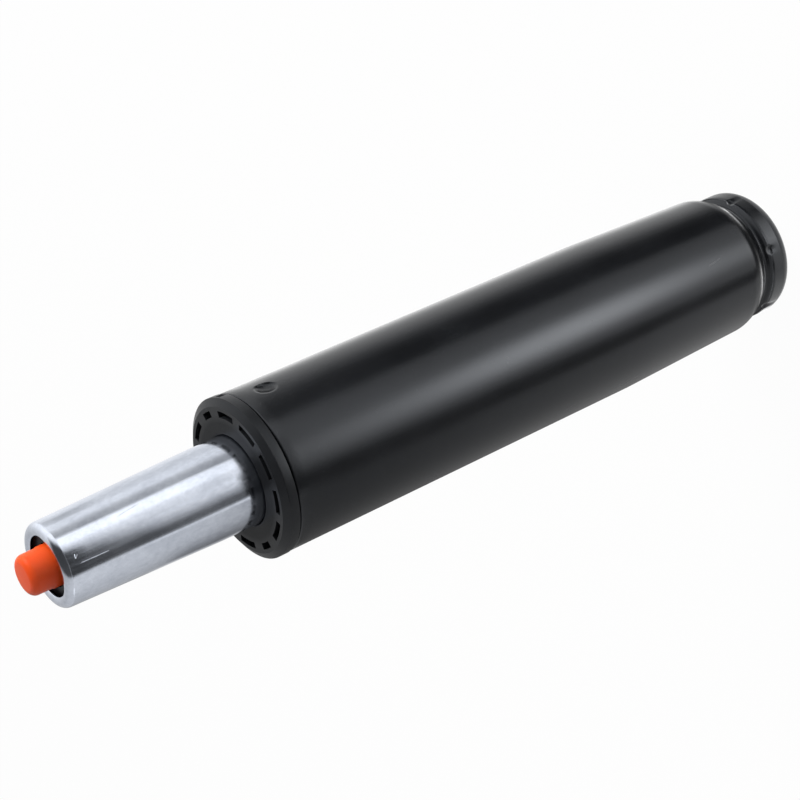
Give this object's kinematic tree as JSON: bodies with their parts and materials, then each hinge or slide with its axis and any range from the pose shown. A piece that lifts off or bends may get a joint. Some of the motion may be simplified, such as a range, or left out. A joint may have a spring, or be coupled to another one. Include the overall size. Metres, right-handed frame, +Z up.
{
  "type": "chair gas lift cylinder",
  "caption": "Height-adjustable swivel chair column: tapered outer tube with guide bush, rising pressure tube with seat taper, inner piston rod, valve and release button.",
  "frame": {"origin": "on the axis of the column, in the plane of the rolled lower end that it stands on", "axes": "+Z up the axis from the base taper to the release button; -Y is the side that the picture shows"},
  "size_m": [0.0504, 0.0504, 0.2829],
  "materials": {
    "black_paint": "satin black stoved paint on steel tube, fine orange peel",
    "black_nylon": "moulded black nylon, slightly grained",
    "bright_zinc": "bright plated steel tube, fine scratches along and across",
    "orange_plastic": "moulded orange plastic, soft gloss",
    "plain_steel": "pressed and turned steel, oiled",
    "ground_steel": "ground and hardened steel",
    "spring_steel": "blackened spring steel",
    "brass": "turned brass",
    "aluminium": "turned aluminium",
    "black_rubber": "moulded black rubber",
    "white_plastic": "natural white acetal"
  },
  "bodies": {
    "outer_column": {"outer_tube": "black_paint", "bottom_plate": "plain_steel", "guide_bush": "black_nylon", "lower_thrust_washer": "ground_steel"},
    "rod_assembly": {"piston_rod": "ground_steel", "upper_thrust_washer": "ground_steel", "clip_washer": "plain_steel", "retaining_clip": "spring_steel", "bump_stop": "black_rubber", "piston_washer": "plain_steel", "piston": "aluminium", "piston_seal": "black_rubber", "piston_guide_ring": "white_plastic"},
    "lift_column": {"pressure_tube": "bright_zinc", "rod_guide": "white_plastic", "rod_seal": "black_rubber", "seal_washer": "plain_steel", "cylinder_foot": "white_plastic", "inner_cylinder": "plain_steel", "valve_seat": "brass", "cylinder_seal": "black_rubber", "pin_seal": "black_rubber", "valve_housing": "black_nylon", "housing_seal": "black_rubber"},
    "button_set": {"valve_pin": "ground_steel", "valve_face": "black_rubber", "release_button": "orange_plastic"},
    "bearing_cage": {"ball_cage": "brass", "bearing_balls": "ground_steel"}
  },
  "joints": [
    {"name": "seat_swivel", "type": "hinge", "parent": "outer_column", "child": "rod_assembly", "pos_m": [0, 0, 0.0123], "axis": [0, 0, 1], "continuous": true},
    {"name": "lift_slide", "type": "slide", "parent": "rod_assembly", "child": "lift_column", "axis": [0, 0, 1], "range_m": [0, 0.1]},
    {"name": "release_button_press", "type": "slide", "parent": "lift_column", "child": "button_set", "axis": [0, 0, 1], "range_m": [-0.004, 0], "stiffness_N_per_m": 2500, "springref_m": 0.0005},
    {"name": "bearing_cage_spin", "type": "hinge", "parent": "outer_column", "child": "bearing_cage", "pos_m": [0, 0, 0.0123], "axis": [0, 0, 1], "continuous": true}
  ],
  "couplings": [
    {"joint": "bearing_cage_spin", "follows": "seat_swivel", "ratio": 0.5}
  ]
}
